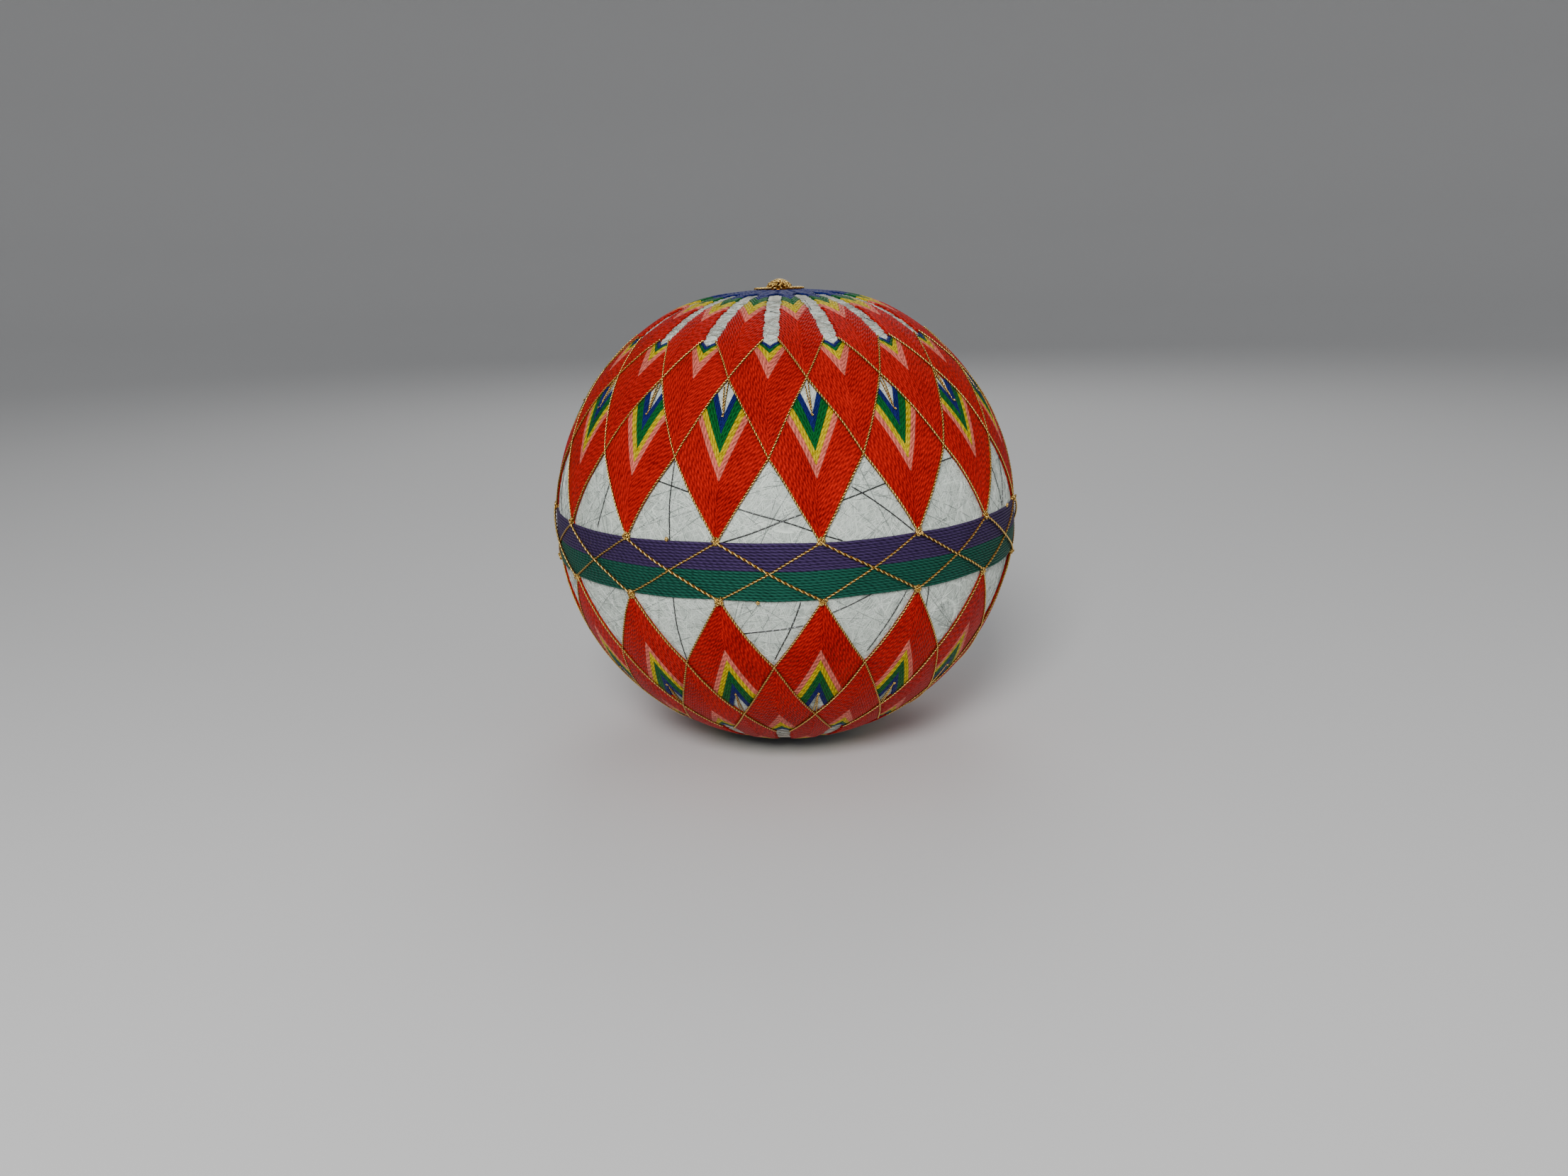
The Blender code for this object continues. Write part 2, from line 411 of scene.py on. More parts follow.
# How a row runs: the share of its way, its size, and how deep it sinks in metres.
TIP_END = ((0, 0.35, 0.0003), (0.04, 0.95, 0.0001), (0.1, 1, 0))
LONG_MIDDLE = ((0.28, 1, 0), (0.5, 1, 0), (0.72, 1, 0), (0.9, 1, 0))
SHORT_MIDDLE = ((0.35, 1, 0), (0.7, 1, 0))
UNDER_END = ((1, 1, 0.00022), (1.35, 0.9, 0.00065), (1.8, 0, 0.00105))
STRIP_END = ((0.96, 0.95, 0.0001), (1, 0, 0.0006))


def lay_row(bm, where, row, side, line, far_end):
    """Both halves of one row in one petal. where gives latitude and longitude on it."""
    length = (on_ball(*where(row, 0), 0) - on_ball(*where(row, 1), 0)).length
    course = TIP_END + (LONG_MIDDLE if length > LONG_ROW else SHORT_MIDDLE) + far_end
    for hand in (-1, 1):
        path, ups, widths, heights = [], [], [], []
        for share, size, sink in course:
            lat, lon = where(row, share)
            across = on_ball(*where(row - 0.5, share), 0) - on_ball(*where(row + 0.5, share), 0)
            along = on_ball(*where(row, share + 0.01), 0) - on_ball(*where(row, share - 0.01), 0)
            lane = across.cross(along.normalized()).length / 2
            width = max(NARROWEST, min(WIDEST, lane * PLUMP))
            path.append(on_ball(side * lat, line + hand * lon, THREAD_HEIGHT + sink))
            ups.append(surface_up(side * lat, line + hand * lon))
            widths.append(width * size)
            heights.append(min(THREAD_HEIGHT, THREAD_SECTION / width) * size)
        begin = hand * row**2 * 1.7 % PLY_TURN  # so that neighbours' plies don't line up
        lay_thread(bm, path, ups, widths, heights, 6, begin=begin)


TINTS = {
    "blue": (0.004, 0.009, 0.10, 1),
    "green": (0.0005, 0.070, 0.012, 1),
    "yellow": (0.49, 0.365, 0.0, 1),
    "pink": (0.62, 0.14, 0.10, 1),
    "red": (0.40, 0.003, 0.0005, 1),
}


def thread_material(name, colour, painted_ply_shading=0.55):
    """Two-ply shiny cotton: the plies wind round each other and show as slanting dashes, bumped and
    painted: painted shade between the plies and painted highlight on their tops.
    """
    # The gloss has mostly the thread's own colour.
    gloss = tuple(0.12 + 0.88 * channel / max(colour[:3]) for channel in colour[:3]) + (1,)
    material, surface, shade = new_material(name, Specular_IOR_Level=0.4, Specular_Tint=gloss)
    uv = shade.add("ShaderNodeUVMap", {"uv_map": "thread"})
    split = shade.add("ShaderNodeSeparateXYZ", None, {0: uv})
    along, round_it = split, split.output("Y")
    twist = round_it * 2 - along * (2 / PLY_TURN)
    ply = shade.math("COSINE", twist * (2 * math.pi)) * 0.5 + 0.5
    fibre_turn = (round_it - along * (1 / PLY_TURN)) * 20
    fibre_place = shade.add("ShaderNodeCombineXYZ", None, {"X": along * 0.8, "Y": fibre_turn})
    fibre = shade.add(
        "ShaderNodeTexNoise", None, {"Vector": fibre_place, "Scale": 1.0, "Detail": 3.0}
    )
    place = shade.add("ShaderNodeTexCoord", output=3)
    dye = shade.add("ShaderNodeTexNoise", None, {"Vector": place, "Scale": 110.0, "Detail": 2.0})
    # Fine specks of painted highlight, a glitter of the cotton's sheen.
    painted_glitter = shade.add("ShaderNodeTexNoise", None, {"Vector": place, "Scale": 900.0, "Detail": 1.0})
    # shadow is painted shade in the valleys between the plies, and light a painted highlight on the
    # plies' tops and specks; the fibre streaks' lighter parts are painted glints, and dye is the
    # thread's own uneven tone.
    shadow = tuple(channel * 0.34 for channel in colour[:3]) + (1,)
    light = tuple(min(1, channel * 1.4 + 0.003) for channel in colour[:3]) + (1,)
    level = (ply * painted_ply_shading + fibre + dye * 0.5 + painted_glitter * 0.8 - 0.92).clamp()
    drive(surface, "Base Color", level.mix(shadow, light))
    drive(surface, "Roughness", 0.72 - fibre * 0.34)
    bump = {"Strength": 0.75, "Distance": 0.00016, "Height": ply + fibre * 0.6}
    drive(surface, "Normal", shade.add("ShaderNodeBump", None, bump))
    return material


cotton = {name: thread_material("cotton_" + name, tint) for name, tint in TINTS.items()}
TUCK = 0.62  # degrees past the edge of the tier above for a whole share


def tucked_row(start, table, edge_from, edge_to):
    """Rows that start at a petal's tip and end tucked under the tier above."""

    def where(row, share):
        tip, fraction = read_rows(start, table, row)
        edge_lon = edge_from[0] + (edge_to[0] - edge_from[0]) * fraction
        edge = edge_lon, taut(edge_lon, edge_from, edge_to)
        lon = OVERSHOOT + (edge_lon - OVERSHOOT) * min(share, 1) + TUCK * max(0, share - 1)
        return taut(lon, (0, tip), edge), lon

    return where


def add_tier(name, where, table, line, far_end, nodes):
    """One tier on both halves of the ball, a piece for each colour."""
    for half, side in HALVES:
        first = 0
        for colour, count, *_ in table:
            bm = bmesh.new()
            for row in range(count):
                lay_row(bm, where, first + row + 0.5, side, line, far_end)
            first += count
            repeat_round(bm)
            make_uneven(bm)
            node = f"{half}_{nodes}"
            finish_piece(f"{half}_{name}_{colour}", bm, cotton[colour], "petals", node)


# Outer petals, from the band up. The white winding shows in a small window in each.
OUTER_START = (WINDOW_TIP, 0.0)
OUTER_ROWS = (
    # colour, rows, tip latitude, share of the way down the middle petal's edge
    ("blue", 3, 29.5, 0.10),
    ("green", 3, 25.3, 0.27),
    ("yellow", 2, 22.2, 0.375),
    ("pink", 2, 19.2, 0.47),
    ("red", 11, BAND_EDGE, 1.0),
)
middle_edge = (0, MIDDLE_SIDE), (HALF, OUTER_SIDE)
window_corner = WINDOW_LON, taut(WINDOW_LON, *middle_edge)
outer = tucked_row(OUTER_START, OUTER_ROWS, window_corner, (HALF, OUTER_SIDE))
add_tier("outer", outer, OUTER_ROWS, 0, UNDER_END, "outer_petals")

# Middle petals, whose tips lie between the outer ones. Their first rows start under the strips.
MIDDLE_START = (STRIP_TIP, 0.0)
MIDDLE_ROWS = (
    # colour, rows, tip latitude, share of the way down the inner petal's edge
    ("blue", 1, 50.3, 0.07),
    ("green", 1, 49.1, 0.12),
    ("yellow", 2, 46.5, 0.19),
    ("pink", 3, 42.1, 0.30),
    ("red", 13, OUTER_SIDE, 1.0),
)
shoulder = HALF - strip_edge(STRIP_SHOULDER), STRIP_SHOULDER
middle = tucked_row(MIDDLE_START, MIDDLE_ROWS, shoulder, (HALF, MIDDLE_SIDE))
add_tier("middle", middle, MIDDLE_ROWS, HALF, UNDER_END, "middle_petals")

# Inner petals, which run on to the crown. Each row turns back at the edge of a white strip.
STITCH_STRAY = 0.00013  # how far from the strip's edge a stitch is taken
INNER_START = (86.0, 0.9)
INNER_ROWS = (
    # colour, rows, tip latitude, how much higher the row ends
    ("blue", 13, 71.0, 2.8),
    ("green", 3, 66.9, 4.0),
    ("yellow", 3, 62.6, 5.1),
    ("pink", 2, 59.6, 5.9),
    ("red", 14, MIDDLE_SIDE, STRIP_SHOULDER - MIDDLE_SIDE),
)


def inner(row, share):
    """Rows that start at a petal's tip and turn back at the edge of a strip."""
    tip, rise = read_rows(INNER_START, INNER_ROWS, row)
    edge = strip_edge(tip + rise), tip + rise
    lon = OVERSHOOT + (edge[0] - OVERSHOOT) * share
    stray = (math.sin(row * 5.3) + math.sin(row * 2.1)) * STITCH_STRAY
    lon += math.degrees(stray / (RADIUS * math.cos(math.radians(edge[1])))) * share
    return taut(lon, (0, tip), edge), lon


add_tier("inner", inner, INNER_ROWS, 0, STRIP_END, "inner_petals")

# Coils at the poles.
# Inside the first rows a single blue thread goes round and round to the pole and closes it.
# The knot hides the upper one.
COIL_PITCH = 0.63  # degrees of latitude from one turn to the next
COIL_EDGE = 86.5
COIL_STEP = 24  # degrees round
COIL_START = 0.3  # how many pitches from the pole
for half, side in HALVES:
    bm = bmesh.new()
    turns = (90 - COIL_EDGE) / COIL_PITCH
    places = [
        (90 - COIL_PITCH * (COIL_START + angle / 360), angle)
        for angle in range(0, round(360 * turns), COIL_STEP)
    ]
    path = [on_ball(side * lat, lon, THREAD_HEIGHT + 0.0001) for lat, lon in places]
    ups = [Vector((0, 0, side))] * len(path)
    half_width = RADIUS * math.radians(COIL_PITCH) * 0.6
    sizes = [half_width] * len(path), [THREAD_HEIGHT] * len(path)
    lay_thread(bm, path, ups, *sizes, 6)
    finish_piece(f"{half}_pole_coil", bm, cotton["blue"], "petals")

# Strands across the white strips.
# Between the inner petals the winding is combed level by the stitches on both sides of it.
STRIP_STRANDS = 58
STRIP_SHARES = (-1, -0.5, 0, 0.5, 1)  # places on a strand, from one side of the strip to the other
combed = strand_material("combed_strands", (0.22, 0.225, 0.19, 1), (0.68, 0.66, 0.58, 1))
rng = random.Random(5)
for half, side in HALVES:
    bm = bmesh.new()
    for _ in range(STRIP_STRANDS):
        lat = rng.uniform(STRIP_TIP + 0.6, STRIP_TOP - 1.5)
        tilt = rng.gauss(0, 0.9)
        reach = HALF - strip_edge(lat) + 0.35
        thick = rng.uniform(0.00008, 0.00014)
        depth = WINDING_DEPTH - rng.uniform(0.00008, 0.0002)
        path, ups = [], []
        for share in STRIP_SHARES:
            place = side * (lat + tilt * share), HALF + reach * share
            path.append(on_ball(*place, depth))
            ups.append(surface_up(*place))
        sizes = [thick] * len(path)
        lay_thread(bm, path, ups, sizes, sizes, 4)
    repeat_round(bm)
    make_uneven(bm)
    finish_piece(f"{half}_strip_strands", bm, combed, "winding")

# Metallic film threads.
# Lengths of metallic film thread lie on the winding, some along the lines that divide the ball and
# some across, and dip under the petals. The film twists, and its colour is painted: painted silver
# glints at short gaps where it turns to the light, and nearly black between, a painted reflection
# of dark surroundings.
FILM_RUNS = (
    # two places that a thread passes through, each as petals round from the front and latitude
    ((-1.5, 25), (-1.5, -25)),
    ((-1.75, 19), (0.25, 6)),
    ((-1, 6), (1.75, 21)),
    ((0.3, 18), (1, 6)),
    ((-2.3, 19), (-2.5, 6)),
    ((2.3, 20), (2.5, 6)),
    ((-0.85, -15), (-0.1, -12)),
    ((-0.2, -6), (-0.5, -23)),
    ((0.05, -10), (0.55, -6)),
    ((0.9, -6), (0.5, -22)),
    ((1.15, -6), (1.15, -14)),
    ((0.5, 74), (0.4, 63)),
    ((-0.6, 65), (-0.3, 63)),
    ((1.4, 62), (1.7, 57)),
    ((-0.4, -62), (-0.6, -56)),
)
FILM_SWEEPS = 3  # how often the runs repeat round the ball, the second time mirrored
FILM_TURN = 5  # petals from one sweep to the next
FILM_STEP = 0.0022
FILM_HALF_WIDTH, FILM_HALF_HEIGHT = 0.00018, 0.00011
FILM_LIFT = 0.00015  # over the winding, into which its ends dip
FILM_DIP = 0.0003


def film_material():
    """Painted nearly black, a reflection of dark surroundings, with short painted silvery glints
    where the twisted film turns to the light.
    """
    material, surface, shade = new_material("film_painted_dark", Roughness=0.3, Specular_IOR_Level=0.6)
    uv = shade.add("ShaderNodeUVMap", {"uv_map": "thread"})
    split = shade.add("ShaderNodeSeparateXYZ", None, {0: uv})
    place = shade.add("ShaderNodeTexCoord", output=3)
    sway = shade.add("ShaderNodeTexNoise", None, {"Vector": place, "Scale": 90.0})
    turn = split * (2 * math.pi / 2.2) + split.output("Y") * 2 + sway * 6
    # Painted highlight: silver where the twisted film turns to the light, painted near-black
    # elsewhere.
    painted_glint = (shade.math("SINE", turn) * 4 - 4.6 + sway * 2.4).clamp()
    drive(surface, "Base Color", painted_glint.mix((0.008, 0.008, 0.009, 1), (0.40, 0.42, 0.44, 1)))
    drive(surface, "Metallic", painted_glint * 0.9)
    return material


bm = bmesh.new()
for sweep in range(FILM_SWEEPS):
    hand = -1 if sweep == 1 else 1
    for run in FILM_RUNS:
        spots = [
            on_ball(lat, DIVISION * (hand * petals + sweep * FILM_TURN), WINDING_DEPTH) - CENTRE
            for petals, lat in run
        ]
        count = max(4, round((spots[0] - spots[1]).length / FILM_STEP))
        path = []
        for step in range(count + 1):
            spot = spots[0].lerp(spots[1], step / count)
            wander = noise.noise_vector(spot * 70) * 0.0005
            spot = CENTRE + (spot + wander).normalized() * (RADIUS - WINDING_DEPTH)
            path.append(press(spot, WINDING_DEPTH))
        ups = [(spot - CENTRE).normalized() for spot in path]
        lifts = [-FILM_DIP] + [FILM_LIFT] * (count - 1) + [-FILM_DIP]
        path = [spot + up * lift for spot, up, lift in zip(path, ups, lifts)]
        sizes = [FILM_HALF_WIDTH] * len(path), [FILM_HALF_HEIGHT] * len(path)
        lay_thread(bm, path, ups, *sizes, 4, begin=sweep)
finish_piece("film_threads", bm, film_material(), "winding")

# The waist band.
# Rows of purple thread over rows of green, wound side by side round the middle of the ball.
BAND_STEPS = 128
BAND_CHANGE = 0.35  # latitude where the colours meet
# How strongly the painted shade between the band's plies and the painted highlight on their tops
# show.
BAND_PAINTED_PLY_SHADING = 0.95
BAND_ROWS = (
    # colour, tint, low edge, high edge, rows, node, slot
    ("purple", (0.030, 0.017, 0.058, 1), BAND_CHANGE, BAND_EDGE, 9, "band_upper_rows", "band_purple"),
    ("teal", (0.004, 0.052, 0.034, 1), -BAND_EDGE, BAND_CHANGE, 10, "band_lower_rows", "band_green"),
)
for colour, tint, low, high, rows, node, slot in BAND_ROWS:
    bm = bmesh.new()
    lane = (high - low) / rows
    half_width = RADIUS * math.radians(lane) / 2 * 1.08
    for row in range(rows):
        lat = low + lane * (row + 0.5)
        lons = [360 * step / BAND_STEPS for step in range(BAND_STEPS + 1)]
        path = [on_ball(lat, lon, THREAD_HEIGHT) for lon in lons]
        path[-1] = path[0].copy()
        ups = [surface_up(lat, lon) for lon in lons]
        count = len(path)
        sizes = [half_width] * count, [THREAD_HEIGHT] * count
        lay_thread(bm, path, ups, *sizes, 6, begin=row**2 * 0.23 % PLY_TURN)
    make_uneven(bm)
    material = thread_material("cotton_" + colour, tint, BAND_PAINTED_PLY_SHADING)
    finish_piece(f"band_{colour}", bm, material, slot, node)


# Gold outline cords.
# A cord of two metallic strands is couched along the petals' edges, in straight runs that
# cross where petals touch and make a net over each half of the ball.
def gold_material():
    """Metallic film wrapped round a core. Where a strand lies on top its gold is a painted highlight,
    and the brown between is painted shade.
    """
    material, surface, shade = new_material("gold_thread", Metallic=0.85, Roughness=0.27)
    uv = shade.add("ShaderNodeUVMap", {"uv_map": "thread"})
    split = shade.add("ShaderNodeSeparateXYZ", None, {0: uv})
    wrap = shade.math("COSINE", (split.output("Y") + split * 3.6) * (2 * math.pi)) * 0.5 + 0.5
    lit = shade.add("ShaderNodeAttribute", {"attribute_name": "on_top"}, output="Fac")
    place = shade.add("ShaderNodeTexCoord", output=3)
    glint_specks = shade.add("ShaderNodeTexNoise", None, {"Vector": place, "Scale": 1500.0, "Detail": 1.0})
    # Painted light: the on_top share and the glint specks paint highlights of light gold, and the
    # brown below them is painted shade.
    level = (lit * 1.6 + wrap * 0.25 + glint_specks * 0.7 - 0.72).clamp()
    drive(surface, "Base Color", level.mix((0.19, 0.065, 0.005, 1), (1.0, 0.69, 0.19, 1)))
    bump = {"Strength": 0.5, "Distance": 0.00005, "Height": wrap + glint_specks}
    drive(surface, "Normal", shade.add("ShaderNodeBump", None, bump))
    return material


gold = gold_material()


def run_between(points, step):
    """Latitudes and longitudes along taut runs between points (longitude, latitude)."""
    places = []
    for start, end in zip(points, points[1:]):
        length = (on_ball(start[1], start[0], 0) - on_ball(end[1], end[0], 0)).length
        count = max(2, round(length / step))
        for index in range(count):
            lon = start[0] + (end[0] - start[0]) * index / count
            places.append((taut(lon, start, end), lon))
    places.append((points[-1][1], points[-1][0]))
    return places


def lay_cord(bm, path, ups, strand, spread, lay, sides=4):
    """Two strands twisted round each other along a path.

    strand is a strand's radius, spread its distance from the path, and lay the length of a turn.
    """
    gone = 0.0
    strands = [], []
    painted_highlight = [], []
    for index, point in enumerate(path):
        before = path[max(0, index - 1)]
        after = path[min(len(path) - 1, index + 1)]
        ahead = (after - before).normalized()
        across = ups[index].cross(ahead).normalized()
        gone += (point - before).length
        for half, line in enumerate(strands):
            turn = 2 * math.pi * (gone / lay + half / 2)
            line.append(point + (across * math.cos(turn) + ups[index] * math.sin(turn)) * spread)
            # How far this strand is on top, from which the gold is painted with a highlight.
            painted_highlight[half].append(max(0, math.sin(turn)) ** 1.5)
    sizes = [strand] * len(path)
    sizes[0] = sizes[-1] = 0.0
    for line, on_top in zip(strands, painted_highlight):
        lay_thread(bm, line, ups, sizes, sizes, sides, on_top)


def add_surface_cord(bm, points, side, depth, strand, spread, lay, step, sides):
    """A cord that follows taut runs over the ball."""
    places = run_between(points, step)
    path = [on_ball(side * lat, lon, depth) for lat, lon in places]
    ups = [surface_up(side * lat, lon) for lat, lon in places]
    lay_cord(bm, path, ups, strand, spread, lay, sides)


# Each kind of cord: how deep its path is, then its strand, spread, lay, step and sides.
OUTLINE_CORD = (0.00005, 0.00020, 0.00018, 0.0021, 0.00036, 3)
STOUT_CORD = (-0.00045, 0.00023, 0.00021, 0.0037, 0.0004, 4)
FINE_CORD = (-0.0001, 0.00018, 0.00019, 0.0026, 0.0004, 4)
OUTLINE = (
    # longitude, latitude
    (0, BAND_EDGE),
    (HALF, OUTER_SIDE),
    (DIVISION, MIDDLE_SIDE),
    (DIVISION + strip_edge(STRIP_SHOULDER) + 0.3, STRIP_SHOULDER + 0.3),
)
for half, side in HALVES:
    bm = bmesh.new()
    for hand in (-1, 1):
        points = [(hand * lon, lat) for lon, lat in OUTLINE]
        add_surface_cord(bm, points, side, *OUTLINE_CORD)
    repeat_round(bm)
    make_uneven(bm)
    finish_piece(f"{half}_outline_cords", bm, gold, "gold_thread")

# Gold zigzags over the band, from each petal's tip to the two nearest tips on the other side.
# The cord that goes one way is stouter and lies over the one that comes back.
bm = bmesh.new()
for hand in (-1, 1):
    points = [(0, BAND_EDGE), (hand * DIVISION, -BAND_EDGE)]
    add_surface_cord(bm, points, 1, *(STOUT_CORD if hand > 0 else FINE_CORD))
repeat_round(bm)
make_uneven(bm)
finish_piece("band_zigzags", bm, gold, "gold_thread")

# Knots where the cords meet at the band.
# At every petal's tip the gold cord is caught down with a few small tight turns. Small pins
# of the same gold sit on the band's edges where a thread begins or ends.
KNOT_STEPS = 14


def add_knot(bm, lat, lon, reach, strand, turns, rng):
    """A few small loops of gold strand, tilted every way, round one place."""
    up = surface_up(lat, lon)
    for _ in range(turns):
        middle = on_ball(lat, lon, -0.00015) + random_pole(rng) * reach * 0.4
        tilted = (up + random_pole(rng) * 0.75).normalized()
        one_way = tilted.orthogonal().normalized()
        other_way = tilted.cross(one_way)
        start = rng.uniform(0, 2 * math.pi)
        wide, narrow = reach * rng.uniform(0.5, 1.0), reach * rng.uniform(0.25, 0.6)
        path = []
        for step in range(KNOT_STEPS + 1):
            angle = 2 * math.pi * (step % KNOT_STEPS) / KNOT_STEPS
            far, near = wide * math.cos(angle), narrow * math.sin(angle)
            swept = math.cos(start) * far - math.sin(start) * near
            sided = math.sin(start) * far + math.cos(start) * near
            path.append(middle + one_way * swept + other_way * sided)
        sizes = [strand] * len(path)
        # Painted highlight: each loop's gold is painted lighter at some places round it and darker at
        # others.
        painted_knot_glints = [0.5 + 0.5 * math.sin(step * 2.4 + start) for step in range(len(path))]
        lay_thread(bm, path, [tilted] * len(path), sizes, sizes, 4, painted_knot_glints)


PINS = (
    # longitude, side, size
    (-34, 1, 0.0007),
    (-14, -1, 0.0006),
    (58, 1, 0.0006),
    (120, -1, 0.0007),
    (188, 1, 0.0006),
    (236, -1, 0.0006),
)
TIP_KNOT = (0.00120, 0.00019, 9)  # its reach, its strand's radius and its number of turns
PIN_KNOT = (0.00018, 3)  # the same after a pin's own size
rng = random.Random(8)
bm = bmesh.new()
for petal in range(PETALS):
    for side in (-1, 1):
        add_knot(bm, side * (BAND_EDGE + 0.2), petal * DIVISION, *TIP_KNOT, rng)
for lon, side, size in PINS:
    add_knot(bm, side * (BAND_EDGE + 0.3), lon, size, *PIN_KNOT, rng)
make_uneven(bm)
finish_piece("band_knots", bm, gold, "gold_thread")

# Gold needles in the windows.
# Two strands hang from each crossing of the cords to the point of the white window below it.
NEEDLE_STEPS = 30
NEEDLE_CORD = (0.00014, 0.00012, 0.0019, 3)  # strand, spread, lay and sides
FOOT_KNOT = (0.0004, 0.00014, 2)
NEEDLES = (
    # top longitude, top latitude, foot longitude, foot latitude
    (0.25, 41.6, 0.02, 33.3),
    (-0.75, 40.6, -0.12, 34.6),
)
for half, side in HALVES:
    bm = bmesh.new()
    for top_lon, top_lat, foot_lon, foot_lat in NEEDLES:
        places = [
            (top_lat + (foot_lat - top_lat) * share, top_lon + (foot_lon - top_lon) * share)
            for share in (index / NEEDLE_STEPS for index in range(NEEDLE_STEPS + 1))
        ]
        path = [on_ball(side * lat, lon, 0.0002) for lat, lon in places]
        ups = [surface_up(side * lat, lon) for lat, lon in places]
        lay_cord(bm, path, ups, *NEEDLE_CORD)
    add_knot(bm, side * (WINDOW_TIP + 0.1), 0, *FOOT_KNOT, rng)
    repeat_round(bm)
    make_uneven(bm)
    finish_piece(f"{half}_needles", bm, gold, "gold_thread")

# The crown knot.
# A flat star of gold cord covers the pole. A tight rosette of loops lies on it, over a small
# solid core that closes the gaps between them.
KNOT_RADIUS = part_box("crown_knot")[1][0]
KNOT_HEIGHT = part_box("crown_knot")[1][2] - CROWN
ROSETTE_LOOPS = 40
ROSETTE_RADIUS = 0.0040
LOOP_STEPS = 24
LOOP_CORD = (0.0002, 0.00019, 0.0021)  # strand, spread and lay
SPOKE_CORD = (0.0002, 0.0002, 0.0022)
SPOKE_STEPS = 20
SPOKE_START = 0.0008
CORE_OUTS = (0, 0.0008, 0.0016, 0.0024, 0.0032, 0.0038, 0.0044)
CORE_FOOT = CROWN - 0.0002


def knot_height(out):
    """The rosette's height over the crown at a distance from the middle."""
    dome = max(0, 1 - (out / ROSETTE_RADIUS) ** 2) ** 0.6
    return 0.0003 + (KNOT_HEIGHT - 0.0006) * dome


rng = random.Random(3)
bm = bmesh.new()
profile = [(out, CORE_FOOT + knot_height(out) * 0.85) for out in CORE_OUTS]
profile += [(CORE_OUTS[-1], CORE_FOOT), (0, CORE_FOOT)]
outline = [bm.verts.new((out, 0, height)) for out, height in profile]
edges = [bm.edges.new(pair) for pair in zip(outline, outline[1:])]
bmesh.ops.spin(
    bm, geom=outline + edges, cent=(0, 0, 0), axis=(0, 0, 1), angle=2 * math.pi, steps=32,
    use_merge=True,
)
bmesh.ops.remove_doubles(bm, verts=bm.verts, dist=1e-6)
for spoke in range(PETALS):
    angle = 2 * math.pi * (spoke + rng.uniform(-0.2, 0.2)) / PETALS
    far = KNOT_RADIUS * rng.uniform(0.9, 1)
    outs = [
        SPOKE_START + (far - SPOKE_START) * index / SPOKE_STEPS for index in range(SPOKE_STEPS + 1)
    ]
    path = [
        Vector((out * math.cos(angle), out * math.sin(angle), CROWN + knot_height(out)))
        for out in outs
    ]
    lay_cord(bm, path, [Vector((0, 0, 1))] * len(path), *SPOKE_CORD)
for loop in range(ROSETTE_LOOPS):
    angle = 2 * math.pi * (loop * 0.382 + rng.uniform(-0.02, 0.02))
    middle = rng.uniform(0.0006, 0.0030)
    long_way, short_way = rng.uniform(0.0009, 0.0016), rng.uniform(0.0006, 0.0011)
    path = []
    for step in range(LOOP_STEPS + 1):
        turn = 2 * math.pi * (step % LOOP_STEPS) / LOOP_STEPS
        out = middle + long_way * math.cos(turn)
        aside = short_way * math.sin(turn)
        spot = Matrix.Rotation(angle, 3, "Z") @ Vector((out, aside, 0))
        spot.z = CROWN + knot_height(spot.length) + 0.0002 * math.cos(turn * 2)
        path.append(spot)
    lay_cord(bm, path, [Vector((0, 0, 1))] * len(path), *LOOP_CORD)
finish_piece("crown_knot_thread", bm, gold, "gold_thread", "crown_knot")

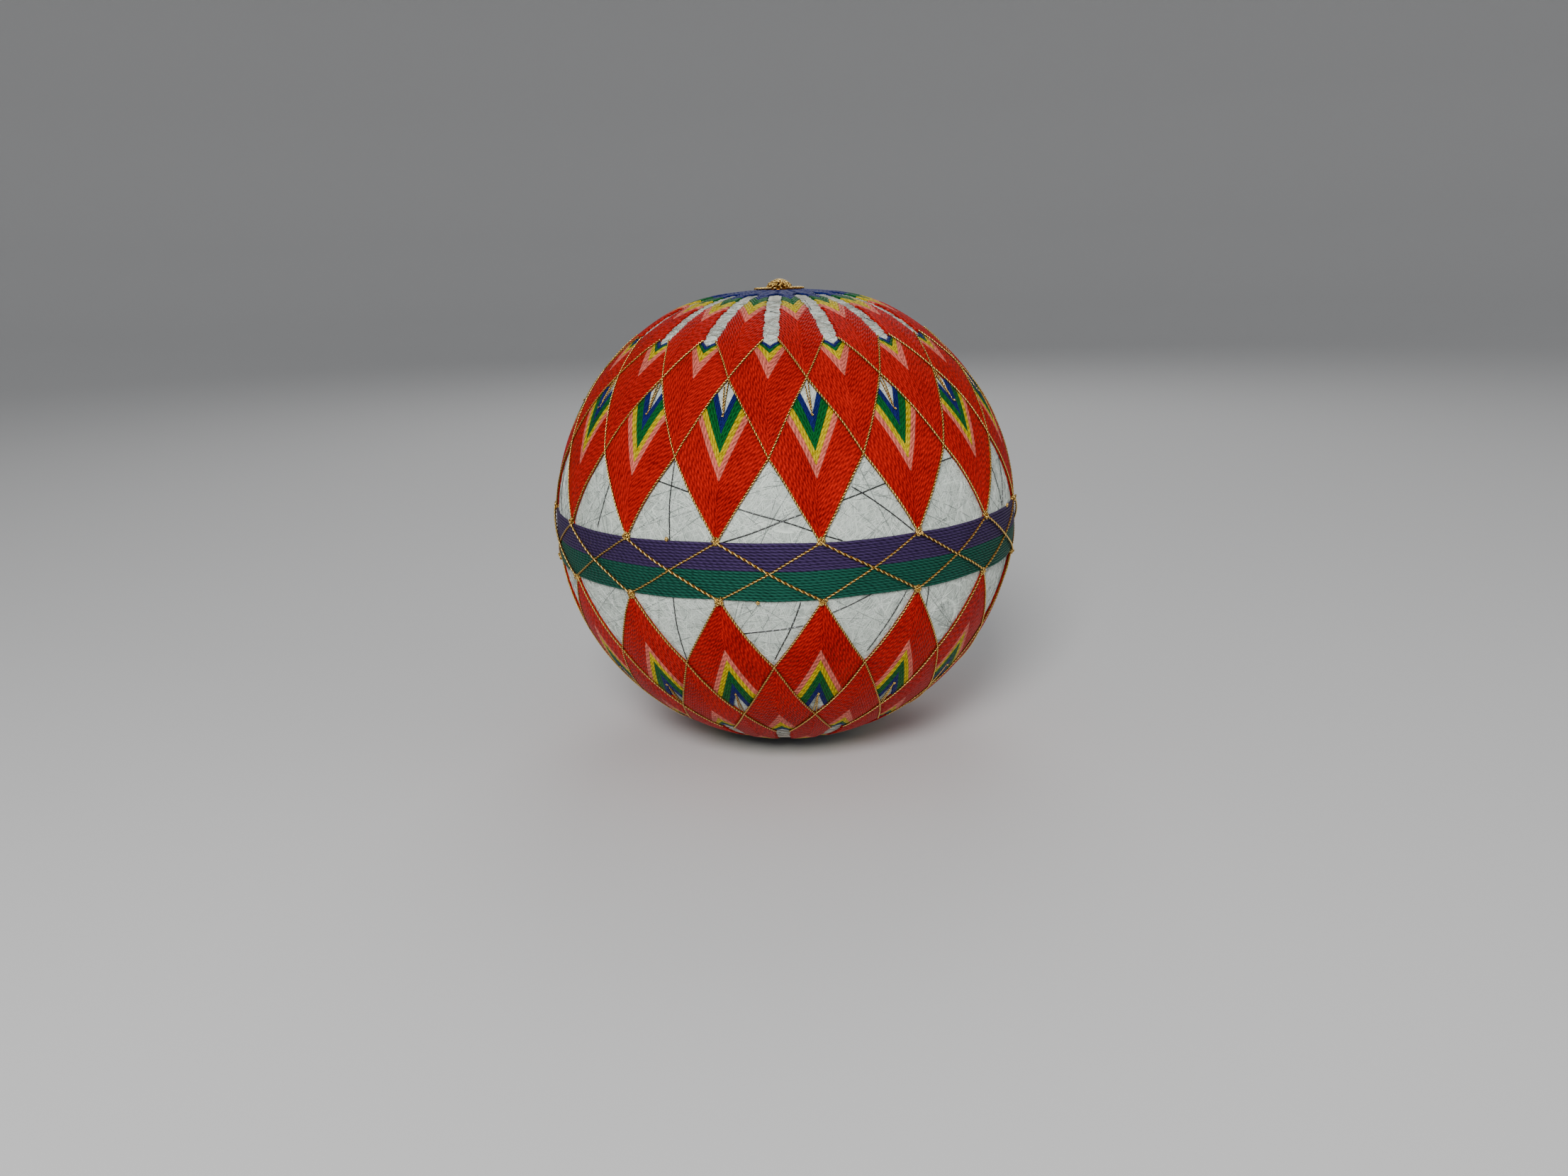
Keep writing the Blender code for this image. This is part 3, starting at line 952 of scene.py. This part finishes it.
# The stage.
# A plain pale floor that sweeps up far behind, soft light from large lamps, and a camera a
# little above the ball.
FLOOR_SWEEP = (
    # distance out, height
    (0.0, 0.0),
    (1.2, 0.0),
    (1.8, 0.0),
    (2.2, 0.05),
    (2.55, 0.2),
    (2.8, 0.5),
    (2.9, 0.9),
    (2.95, 1.6),
)
bm = bmesh.new()
outline = [bm.verts.new((out, 0, FLOOR + height)) for out, height in FLOOR_SWEEP]
edges = [bm.edges.new(pair) for pair in zip(outline, outline[1:])]
bmesh.ops.spin(
    bm, geom=outline + edges, cent=(0, 0, 0), axis=(0, 0, 1), angle=2 * math.pi, steps=96,
    use_merge=True,
)
bmesh.ops.remove_doubles(bm, verts=bm.verts, dist=1e-6)
bmesh.ops.recalc_face_normals(bm, faces=bm.faces)
mesh = bpy.data.meshes.new("floor")
bm.to_mesh(mesh)
bm.free()
mesh.shade_smooth()
floor = bpy.data.objects.new("floor", mesh)
bpy.context.scene.collection.objects.link(floor)
mesh.materials.append(new_material("floor", Base_Color=(0.66, 0.655, 0.65, 1), Roughness=0.9)[0])


def add_lamp(name, place, size, power):
    """A square lamp aimed at the ball."""
    light = bpy.data.lights.new(name, "AREA")
    light.size = size
    light.energy = power
    lamp = bpy.data.objects.new(name, light)
    lamp.location = place
    lamp.rotation_euler = (CENTRE - Vector(place)).to_track_quat("-Z", "Y").to_euler()
    bpy.context.scene.collection.objects.link(lamp)


add_lamp("key", (-0.25, -0.8, 0.62), 0.3, 9.2)
add_lamp("fill", (0.9, -0.5, 0.4), 0.6, 1.3)
add_lamp("back", (0.2, 0.9, 0.9), 0.6, 3)
world = bpy.data.worlds.new("studio")
world.use_nodes = True
sky = world.node_tree.nodes["Background"].inputs
sky["Color"].default_value = (0.75, 0.77, 0.8, 1)
sky["Strength"].default_value = 0.4
bpy.context.scene.world = world

AZIMUTH, ELEVATION = math.radians(-7.4), math.radians(11.35)
DISTANCE = 5.56 * RADIUS
AIM_DOWN, AIM_LEFT, ROLL = math.radians(3.47), math.radians(0.17), math.radians(1.63)
camera_data = bpy.data.cameras.new("camera")
camera_data.lens = 28.7
camera_data.sensor_width = 36
camera_data.clip_start = 0.01
camera = bpy.data.objects.new("camera", camera_data)
back = Vector((
    math.sin(AZIMUTH) * math.cos(ELEVATION),
    -math.cos(AZIMUTH) * math.cos(ELEVATION),
    math.sin(ELEVATION),
))
camera.location = CENTRE + back * DISTANCE
aim = back.to_track_quat("Z", "Y").to_matrix()
turned = aim @ Matrix.Rotation(AIM_LEFT, 3, "Y") @ Matrix.Rotation(-AIM_DOWN, 3, "X")
turned = turned @ Matrix.Rotation(-ROLL, 3, "Z")
camera.rotation_euler = turned.to_euler()
bpy.context.scene.collection.objects.link(camera)
bpy.context.scene.camera = camera
